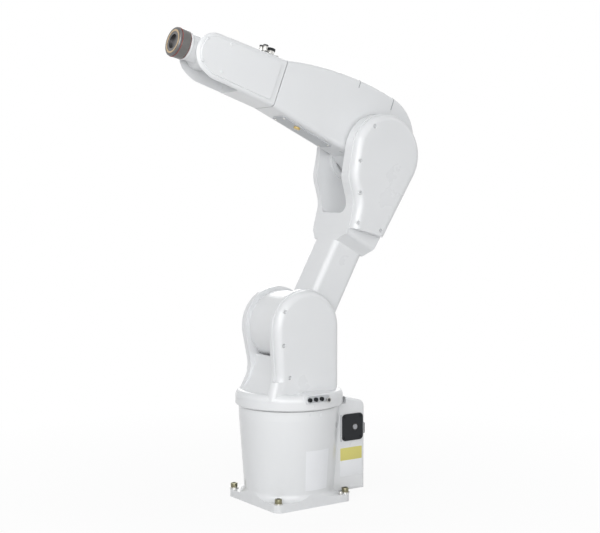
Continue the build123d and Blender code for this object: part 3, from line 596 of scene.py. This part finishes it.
# %% Screws with a hexagonal socket
def socket_screw(name, head, height, key, edge):
    """A screw head standing on z = 0, with a socket for a key of this width."""
    screw = round_disc(name, head / 2, height, edge)
    fresh()
    bpy.ops.mesh.primitive_cylinder_add(
        vertices=6, radius=key / math.sqrt(3), depth=height * 1.2, location=(0, 0, height)
    )
    return cut(screw, bpy.context.object)


BOLT_HALF, FOOT_TOP, WASHER = 0.092, 0.018, 0.0025
FOOT_SPIN, FOOT_SPIN_STEP = 20, 33
EARTH_SPOT, EARTH_SPIN = (-0.074, 0.0985, FOOT_TOP), 12
corners = [(x, y) for x in (BOLT_HALF, -BOLT_HALF) for y in (BOLT_HALF, -BOLT_HALF)]
put(ring_band("foot_washers", 0.0105, 0.0066, WASHER, 0.0004),
    [Matrix.Translation((x, y, FOOT_TOP)) for x, y in corners], "base", nickel)
put(socket_screw("foot_screws", 0.016, 0.010, 0.008, 0.0010),
    [facing(UP, (x, y, FOOT_TOP + WASHER), FOOT_SPIN + FOOT_SPIN_STEP * i) for i, (x, y) in enumerate(corners)],
    "base", zinc)
put(socket_screw("earth_screw", 0.0085, 0.0070, 0.0040, 0.0008),
    [facing(UP, EARTH_SPOT, EARTH_SPIN)], "base", nickel)

# %% [markdown]
# The covers of the shoulder, elbow and wrist are held by small button-head screws along their edges. On the
# near side the shoulder and elbow screws are sunk in pockets and painted over, so they show only as faint
# dimples. The far covers have plain plated screws on their faces.

# %% Cover screws
SUNK_HEAD, SUNK_TALL = 0.0082, 0.0062
PLATED_HEAD, WRIST_HEAD, REAR_COVER_HEAD, LOW_TALL = 0.0074, 0.0062, 0.0058, 0.0018
COVER_SPIN_STEP = 17


def cover_screws(name, body, link, face, spots, finish, head, tall=LOW_TALL):
    """Button-head screws on a cover's face, at places along and up its link in millimetres."""
    normal = NEAR if face > 0 else FAR
    places = []
    for i, (x, z) in enumerate(spots):
        at = link @ Vector((x / 1000, face / 1000, z / 1000))
        places.append(facing(normal, at, COVER_SPIN_STEP * i))
    put(socket_screw(name, head, tall, head * 0.40, head * 0.16), places, body, finish)


shoulder_near = [(65, 42), (69, -33), (53, -105)]
shoulder_far = [(62, 38), (66, -33), (54, -88), (-62, 38), (-71, -33), (-70, -88), (0, 74)]
elbow_near = [(70.5, 482), (68, 393), (32, 330), (4, 268), (-61, 282)]
elbow_far = [
    (68, 482), (62, 400), (30, 330), (-6, 272), (-60, 284), (-74, 352), (-78, 436), (-50, 508), (15, 526),
]
wrist_spots = [(27, 17), (-31, 31), (22, -31), (-30, -35)]
rear_cover_spots = [(-24, 84), (-84, 78)]
SHOULDER_NEAR_FACE, SHOULDER_FAR_FACE = 71, -70
ELBOW_NEAR_FACE, ELBOW_FAR_FACE = 87, -70
WRIST_FACE, REAR_COVER_FACE = 43.5, 42

cover_screws("shoulder_screws_near", "swing", SHOULDER, SHOULDER_NEAR_FACE, shoulder_near,
             enamel, SUNK_HEAD, SUNK_TALL)
cover_screws("shoulder_screws_far", "swing", SHOULDER, SHOULDER_FAR_FACE, shoulder_far,
             nickel, PLATED_HEAD)
cover_screws("elbow_screws_near", "lower", LOWER, ELBOW_NEAR_FACE, elbow_near,
             enamel, SUNK_HEAD, SUNK_TALL)
cover_screws("elbow_screws_far", "lower", LOWER, ELBOW_FAR_FACE, elbow_far,
             nickel, PLATED_HEAD)
for side, sign in (("near", 1), ("far", -1)):
    cover_screws("wrist_screws_" + side, "wrist_roll", WRIST, sign * WRIST_FACE, wrist_spots,
                 enamel, WRIST_HEAD)
for side, sign in (("near", 1), ("far", -1)):
    cover_screws("rear_cover_screws_" + side, "upper", UPPER, sign * REAR_COVER_FACE, rear_cover_spots,
                 enamel, REAR_COVER_HEAD)

# %% [markdown]
# On the real robot the near side of the shoulder runs down to the dome in one plane. The casting here steps
# back below the cover, so a block fills the step. Its outer corners are rounded, and its front leans out at
# the foot.

# %% Filler under the near shoulder cover
FILLER_MIDDLE, FILLER_SIZE = (0.0035, 0.0700, 0.2645), (0.175, 0.0192, 0.041)
FILLER_ROUND, FILLER_LEAN = 0.014, 0.012
filler_front = FILLER_MIDDLE[0] + FILLER_SIZE[0] / 2

fresh()
bpy.ops.mesh.primitive_cube_add(size=1, location=FILLER_MIDDLE, scale=FILLER_SIZE)
filler = named_primitive("shoulder_filler")
pick_edges(filler, lambda a, b: abs(a.z - b.z) > FILLER_SIZE[2] / 2 and min(a.y, b.y) > FILLER_MIDDLE[1])
bpy.ops.mesh.bevel(offset=FILLER_ROUND, segments=6, affect="EDGES")
pick_edges(filler, lambda a, b: max(a.z, b.z) < FILLER_MIDDLE[2]
           and min(a.x, b.x) > filler_front - 2 * FILLER_ROUND)
bpy.ops.transform.translate(value=(FILLER_LEAN, 0, 0))
settle(filler, "swing", enamel)

# %% [markdown]
# The panels on the connector box are screwed on at their edges, and the brake button sits in a collar.
# Two thin plates on the box's near side are plain: one yellow and one white.

# %% Screws and plates of the connector box
BOX_REAR, BOX_SIDE = -0.165, 0.075
REAR_SPIN_STEP, PANEL_SPIN, PANEL_INSET = 23, 31, 0.007
BOX_PLATE_X, BOX_PLATE_WIDTH, BOX_PLATE_THICK = -0.122, 0.062, 0.0005

rear_spots = [(y, z) for y in (-55, 0, 55) for z in (38, 186)] + [(-55, 112), (55, 112)]
put(socket_screw("rear_panel_screws", 0.0070, 0.0020, 0.0028, 0.0008), [
    facing(REAR, (BOX_REAR, y / 1000, z / 1000), REAR_SPIN_STEP * i) for i, (y, z) in enumerate(rear_spots)
], "base", nickel)

panel_low, panel_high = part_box("brake_panel")
put(socket_screw("brake_panel_screws", 0.0050, 0.0014, 0.0020, 0.0005), [
    facing(NEAR, (x, panel_high[1], z), PANEL_SPIN)
    for x in (panel_low[0] + PANEL_INSET, panel_high[0] - PANEL_INSET)
    for z in (panel_low[2] + PANEL_INSET, panel_high[2] - PANEL_INSET)
], "base", panel_plastic)

button_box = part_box("brake_button")
button_spot = (halfway(button_box, 0), button_box[0][1], halfway(button_box, 2))
put(ring_band("button_collar", 0.0087, 0.0064, 0.0014, 0.0004, 48),
    [facing(NEAR, button_spot)], "base", seal_rubber)

for name, tall, height, finish in (
    ("box_plate_upper", 0.029, 0.1025, yellow_vinyl),
    ("box_plate_lower", 0.037, 0.0695, blank_vinyl),
):
    put(round_block(name, (BOX_PLATE_WIDTH, tall, BOX_PLATE_THICK), 0.002, 0.0002),
        [facing(NEAR, (BOX_PLATE_X, BOX_SIDE, height))], "base", finish)

# %% [markdown]
# A third plain plate lies on the drum and follows its cone. A flat plate would have to be bent, so it is cut
# out of an open cone by two upright planes instead, and then gets its thickness.

# %% Curved blank plate on the drum
DRUM_FOOT, DRUM_SHOULDER = (0.1035, 0.032), (0.1155, 0.198)
slope = (DRUM_SHOULDER[0] - DRUM_FOOT[0]) / (DRUM_SHOULDER[1] - DRUM_FOOT[1])


def drum_radius(z):
    return DRUM_FOOT[0] + slope * (z - DRUM_FOOT[1])


def drum_plate(name, low, high, first, last, proud):
    """A thin plate on the conical drum, between two heights and two angles."""
    fresh()
    bpy.ops.mesh.primitive_cone_add(
        vertices=120, radius1=drum_radius(low) + proud, radius2=drum_radius(high) + proud, depth=high - low,
        end_fill_type="NOTHING", location=(0, 0, (low + high) / 2),
    )
    plate = named_primitive(name)
    for degrees, side in ((first, 1), (last, -1)):
        turn = math.radians(degrees)
        bpy.ops.object.mode_set(mode="EDIT")
        bpy.ops.mesh.select_all(action="SELECT")
        bpy.ops.mesh.bisect(
            plane_co=(0, 0, 0), plane_no=(math.sin(turn) * side, -math.cos(turn) * side, 0), clear_outer=True
        )
        bpy.ops.object.mode_set(mode="OBJECT")
    return thicken(plate, proud, -1)


blank_plate = drum_plate("drum_blank_plate", low=0.040, high=0.130, first=75.5, last=108.5, proud=0.0006)
settle(blank_plate, "base", blank_vinyl)

# %% [markdown]
# A robot this size has its plugs at the back of its base. The power plug is held by two latches, the signal
# plug by a turned ring, the small socket has four contacts, and each air inlet has a ring that frees its hose.

# %% Plugs on the rear panel
PLUG_SIDE, UPPER_ROW, LOWER_ROW = 0.026, 0.150, 0.092
CONTACT_HALF, INLET_HALF, LATCH_HALF = 0.0022, 0.012, 0.014
LATCH_X, SIGNAL_RING_X, CONTACT_X, INLET_X = -0.178, -0.1715, -0.170, -0.178
put(round_block("power_latches", (0.012, 0.018, 0.0030), 0.002, 0.0008),
    [facing((0, 0, s), (LATCH_X, PLUG_SIDE, UPPER_ROW + s * LATCH_HALF)) for s in (1, -1)],
    "base", button_plastic)
put(ring_band("signal_ring", 0.0135, 0.0111, 0.0085, 0.0012, 20),
    [facing(REAR, (SIGNAL_RING_X, -PLUG_SIDE, UPPER_ROW))], "base", plug_plastic, angle=12)
put(round_disc("socket_contacts", 0.0008, 0.0060, 0.0004, 12), [
    facing(REAR, (CONTACT_X, PLUG_SIDE + y, LOWER_ROW + z))
    for y in (-CONTACT_HALF, CONTACT_HALF) for z in (-CONTACT_HALF, CONTACT_HALF)
], "base", nickel)
put(ring_band("inlet_rings", 0.0052, 0.0031, 0.0018, 0.0004, 36), [
    facing(REAR, (INLET_X, -PLUG_SIDE + y, LOWER_ROW + z))
    for y in (-INLET_HALF, INLET_HALF) for z in (-INLET_HALF, INLET_HALF)
], "base", release_blue)

# %% [markdown]
# Two small marks at the turning seam show where the first axis is at zero.
# They are thin raised bars, one on the collar and one on the drum.

# %% Zero marks at the turning seam
MARK_SIZE = (0.008, 0.0040, 0.0008)


def zero_mark(name, body, radius, angle, height):
    """A small bar on a round wall, at an angle round the yaw axis and a height."""
    out = Vector((math.cos(math.radians(angle)), math.sin(math.radians(angle)), 0))
    bar = round_block(name, MARK_SIZE, MARK_SIZE[1] * 0.2, MARK_SIZE[2] * 0.3)
    put(bar, [facing(out, out * radius + Vector((0, 0, height)), 90)], body, blank_vinyl)


zero_mark("zero_mark_collar", "swing", 0.1234, 82, 0.2305)
zero_mark("zero_mark_drum", "base", 0.1154, 93.5, 0.2105)

# %% [markdown]
# The flange is what tools bolt to. A bronze-coloured ring lies in its dark face, and two thin red seals
# frame the polished sleeve behind it. They are narrow rings, made by bridging the rims of an inset cylinder.

# %% Rings of the tool flange
FLANGE_BACK, SLEEVE_END, FLANGE_FACE = 0.055, 0.0755, 0.082
SLEEVE_START, SLEEVE_LENGTH = FLANGE_BACK + 0.0010, SLEEVE_END - FLANGE_BACK - 0.0012
flange_rings = (
    ("flange_face_ring", 0.0262, 0.0222, 0.0005, 0.0001, FLANGE_FACE, "bright_steel", bronze),
    ("flange_sleeve", 0.0322, 0.0316, SLEEVE_LENGTH, 0.0002, SLEEVE_START, "bright_steel", bright_steel),
    ("flange_seal_front", 0.0325, 0.0316, 0.0010, 0.0003, SLEEVE_END, "dark_rubber", seal_red),
    ("flange_seal_back", 0.0318, 0.0306, 0.0009, 0.0002, FLANGE_BACK + 0.0001, "dark_rubber", seal_red),
)
for name, outer, inner, height, edge, distance, slot, finish in flange_rings:
    place = facing(TOOL_AXIS, TOOL @ Vector((distance, 0, 0)))
    put(ring_band(name, outer, inner, height, edge, 72), [place], "tool", finish)

# %% [markdown]
# The wrist's connector plate carries two push-in air fittings and a round socket for tool signals.
# Each fitting has a nut, a stem and a dark ring that is pressed to let the hose go. The socket has a ring of
# pins. The plate slopes with the top of the wrist, so its frame is worked out from the wrist's outline.

# %% Fittings on the wrist
WRIST_START, SEAM_TOP, END_SHIFT, END_RADIUS = -0.178, 0.062, 0.005, 0.048
top_run, top_drop = -END_SHIFT - WRIST_START, SEAM_TOP + END_SHIFT
top_fall = math.atan2(top_drop, top_run) - math.asin(END_RADIUS / math.hypot(top_run, top_drop))
PLATE = WRIST @ link_frame((WRIST_START, 0, SEAM_TOP), -math.degrees(top_fall))
PLATE_UP = PLATE.to_3x3() @ UP
PLATE_MIDDLE, PLATE_HIGH = 0.012 + 0.022, 0.004
FITTING_AHEAD, FITTING_SIDE, SOCKET_AHEAD = 0.010, 0.0075, -0.010
PIN_CIRCLE, PIN_COUNT, PIN_HEIGHT = 0.0042, 8, 0.0065
CORNER_AHEAD, CORNER_SIDE = 0.018, 0.019


def on_plate(forward, side, height):
    return facing(PLATE_UP, PLATE @ Vector((PLATE_MIDDLE + forward, side, height)))


def at_fittings(height):
    return [on_plate(FITTING_AHEAD, side, PLATE_HIGH + height) for side in (-FITTING_SIDE, FITTING_SIDE)]


def at_socket(height):
    return [on_plate(SOCKET_AHEAD, 0, PLATE_HIGH + height)]


put(round_block("plate_gasket", (0.048, 0.050, 0.0030), 0.007, 0.0005),
    [on_plate(0, 0, 0)], "wrist_roll", seal_rubber)
put(ring_band("release_rings", 0.0060, 0.0024, 0.0030, 0.0006, 40),
    at_fittings(0.016), "wrist_roll", plug_plastic)
put(ring_band("fitting_stems", 0.0050, 0.0024, 0.0070, 0.0003, 40),
    at_fittings(0.010), "wrist_roll", nickel)
put(ring_band("fitting_nuts", 0.0074, 0.0056, 0.0050, 0.0006, 6),
    at_fittings(0.0), "wrist_roll", plug_plastic, angle=20)
put(ring_band("socket_ring", 0.0100, 0.0081, 0.0058, 0.0008, 48),
    at_socket(0.0120), "wrist_roll", panel_plastic)
put(ring_band("socket_band", 0.0088, 0.0081, 0.0095, 0.0004, 48),
    at_socket(0.0028), "wrist_roll", nickel)
pin_turns = [2 * math.pi * k / PIN_COUNT for k in range(PIN_COUNT)]
pin_spots = [(PIN_CIRCLE * math.cos(turn), PIN_CIRCLE * math.sin(turn)) for turn in pin_turns] + [(0, 0)]
put(round_disc("socket_pins", 0.0006, 0.0050, 0.0003, 12),
    [on_plate(SOCKET_AHEAD + x, y, PLATE_HIGH + PIN_HEIGHT) for x, y in pin_spots],
    "wrist_roll", nickel)
put(socket_screw("connector_screws", 0.0050, 0.0018, 0.0020, 0.0005), [
    on_plate(x, y, PLATE_HIGH)
    for x in (-CORNER_AHEAD, CORNER_AHEAD) for y in (-CORNER_SIDE, CORNER_SIDE)
], "wrist_roll", nickel)

# %% [markdown]
# Under the forearm a plate closes the housing. It has four screws, and an amber lens that lights when the
# drives are on. The plate slopes with the forearm's underside, so it gets a frame of its own.

# %% Underside of the forearm
HEEL, HEEL_DROP, ROLL_SEAM, SEAM_LOW = 0.060, 0.025, 0.303, 0.050
under_rise = math.atan2(HEEL_DROP + ROLL_OFFSET - SEAM_LOW, ROLL_SEAM - HEEL)
UNDER = UPPER @ link_frame((HEEL, 0, -HEEL_DROP), math.degrees(under_rise))
DOWN = UNDER.to_3x3() @ Vector((0, 0, -1))
UNDER_PLATE, UNDER_START, UNDER_END, UNDER_SIDE = -0.0025, 0.060, 0.194, 0.017
LENS_AHEAD, LENS_SIDE = 0.150, 0.010


def under(forward, side):
    return facing(DOWN, UNDER @ Vector((forward, side, UNDER_PLATE)))


put(socket_screw("under_plate_screws", 0.0060, 0.0018, 0.0024, 0.0006), [
    under(x, y) for x in (UNDER_START, UNDER_END) for y in (-UNDER_SIDE, UNDER_SIDE)
], "upper", nickel)
put(round_disc("drive_lamp", 0.0075, 0.0040, 0.0016),
    [under(LENS_AHEAD, LENS_SIDE)], "upper", amber_lens)

# %% [markdown]
# A cover on the forearm's back lifts off between two seams that end a little below its rounded edges. Each
# seam is drawn as a grey strip standing proud of the skin, which is painted shade for the seam's gap. The strip
# has to follow the rounding, so it is a thin slice of the forearm's own skin: the copy is merged, cut
# free by planes and thickened outward.

# %% Painted shade along the seams of the top cover
SEAM_WIDTH, SEAM_PROUD, MERGE_WITHIN = 0.0018, 0.0003, 0.00001


def skin_strip(name, casting, link, station, lowest):
    """A strip of a casting's skin across its link, above a height in the link."""
    fresh()
    strip = bpy.data.objects.new(name, casting.data.copy())
    bpy.context.collection.objects.link(strip)
    strip.data.transform(casting.matrix_world)
    strip.select_set(True)
    bpy.context.view_layer.objects.active = strip
    forward, upward = (link.to_3x3() @ Vector(axis) for axis in ((1, 0, 0), (0, 0, 1)))
    bpy.ops.object.mode_set(mode="EDIT")
    bpy.ops.mesh.select_all(action="SELECT")
    bpy.ops.mesh.remove_doubles(threshold=MERGE_WITHIN)
    for at, normal in (
        ((station - SEAM_WIDTH / 2, 0, 0), -forward),
        ((station + SEAM_WIDTH / 2, 0, 0), forward),
        ((0, 0, lowest), -upward),
    ):
        bpy.ops.mesh.select_all(action="SELECT")
        bpy.ops.mesh.bisect(plane_co=link @ Vector(at), plane_no=normal, clear_outer=True)
    bpy.ops.object.mode_set(mode="OBJECT")
    return thicken(strip, SEAM_PROUD, 1)


for name, station, lowest in (("top_seam_shade_front", 0.102, 0.126), ("top_seam_shade_rear", -0.0039, 0.116)):
    seam_shade_strip = skin_strip(name, nodes["forearm_housing"], UPPER, station, lowest)
    # The strip's grey plastic finish is painted shade for the gap of the seam.
    settle(seam_shade_strip, "upper", button_plastic)

# %% [markdown]
# Black discs fill the bores of the ports on the turning collar. They are painted shade that makes the holes
# read dark. A plated ring holds the fitting beside them. Each disc has a sunk middle.

# %% Shade discs in the collar's ports, and the ring of its fitting
PORT_PITCH, SHADE_DISC_HEIGHT, RING_BACK = 0.016, 0.0044, 0.0030
port_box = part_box("collar_ports")
# Painted shade: black discs in the port bores make the holes read dark.
shade_disc = round_disc("port_shade_discs", 0.0030, SHADE_DISC_HEIGHT, 0.0005, 28)
sink(shade_disc, SHADE_DISC_HEIGHT, 0.0008, 0.0012)
put(shade_disc, [
    facing(NEAR, (halfway(port_box, 0) + step * PORT_PITCH, port_box[0][1], halfway(port_box, 2)))
    for step in (-1, 0, 1)
], "swing", panel_plastic)

fitting_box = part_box("port_fitting")
fitting_spot = (halfway(fitting_box, 0), fitting_box[1][1] - RING_BACK, halfway(fitting_box, 2))
put(ring_band("port_ring", 0.0058, 0.0040, 0.0024, 0.0005, 40),
    [facing(NEAR, fitting_spot)], "swing", nickel)

# %% [markdown]
# Soft studio light: one wide lamp high on the left, one from the camera's side, one tall lamp on the right that
# draws bright lines along the rounded edges, and one behind for the sides that the camera doesn't see.

# %% Lamps
MIDDLE = Vector((0, 0, 0.55))


def lamp(name, toward, right, above, aim_above, width, height, power):
    """A soft lamp, placed from the arm's middle as the camera sees it, and aimed a little above that middle."""
    place = MIDDLE + to_camera * toward + camera_right * right + UP * above
    aim = MIDDLE + UP * aim_above
    shape = bpy.data.lights.new(name, "AREA")
    shape.shape = "RECTANGLE"
    shape.size, shape.size_y = width, height
    shape.energy = power
    light = bpy.data.objects.new(name, shape)
    turn = (aim - place).to_track_quat("-Z", "Y").to_matrix().to_4x4()
    light.matrix_world = Matrix.Translation(place) @ turn
    bpy.context.collection.objects.link(light)


lamp("key_lamp", 2.0, -1.2, 1.2, 0.1, 1.4, 1.4, 20)
lamp("front_lamp", 2.5, 0.10, 0.40, 0.2, 2.2, 1.8, 35)
lamp("edge_lamp", -0.3, 1.9, 1.0, 0.0, 0.30, 1.2, 3.5)
lamp("back_lamp", -2.6, 0.0, 1.2, 0.0, 2.0, 2.0, 24)
print("lamps ready")

# %% [markdown]
# A product picture has a white ground. A white world and floor that really shone would flood the arm, so they
# look white only to the camera and to reflections. The arm itself is lit at a plain level by a paler world,
# and the floor keeps its shadow.

# %% Floor and world
AMBIENT, AMBIENT_POWER = (0.97, 0.985, 1.0), 0.36
FLOOR_SIZE, GLOW_NEAR, GLOW_START, GLOW_END = 14, 0.93, 0.25, 1.2


def seen_directly(tree):
    """1 for rays from the camera and from mirrors and glass, 0 for the light that falls on the object."""
    path = tree.nodes.new("ShaderNodeLightPath")
    kinds = ("Is Camera Ray", "Is Glossy Ray", "Is Transmission Ray")
    rays = [Wire(tree, path.outputs[kind]) for kind in kinds]
    return rays[0].math("MAXIMUM", rays[0].math("MAXIMUM", rays[0], rays[1]), rays[2])


world = bpy.data.worlds.new("studio")
bpy.context.scene.world = world
world.use_nodes = True
tree = world.node_tree
tree.nodes.clear()
seen = seen_directly(tree)
ambient = seen.node("ShaderNodeBackground", None, {0: (*AMBIENT, 1), 1: AMBIENT_POWER})
white = seen.node("ShaderNodeBackground", None, {0: (1, 1, 1, 1), 1: 1.0})
sky = seen.node("ShaderNodeMixShader", None, {0: seen, 1: ambient, 2: white})
seen.node("ShaderNodeOutputWorld", None, {0: sky})

fresh()
bpy.ops.mesh.primitive_plane_add(size=FLOOR_SIZE, location=(0, 0, 0))
floor = bpy.context.object
floor.name = "studio_floor"
paper = bpy.data.materials.new("floor_paper")
paper.use_nodes = True
tree = paper.node_tree
tree.nodes.clear()
seen = seen_directly(tree)
place = place_wire(tree)
grain = tint(place, noise(place, 40.0, 2.0), (0.68, 0.68, 0.68), (0.70, 0.70, 0.70))
far_off = ramp(place, off_axis(place, UP, (0, 0, 0)), GLOW_START, GLOW_END)
lit = seen.node("ShaderNodeBsdfDiffuse", None, {0: grain})
glow = seen.node("ShaderNodeEmission", None, {0: (1, 1, 1, 1), 1: 1.0})
glow_share = seen * (GLOW_NEAR + far_off * (1 - GLOW_NEAR))
mixed = seen.node("ShaderNodeMixShader", None, {0: glow_share, 1: lit, 2: glow})
seen.node("ShaderNodeOutputMaterial", None, {0: mixed})
floor.data.materials.append(paper)
bpy.context.scene.view_settings.view_transform = "Standard"
print("floor and world ready")
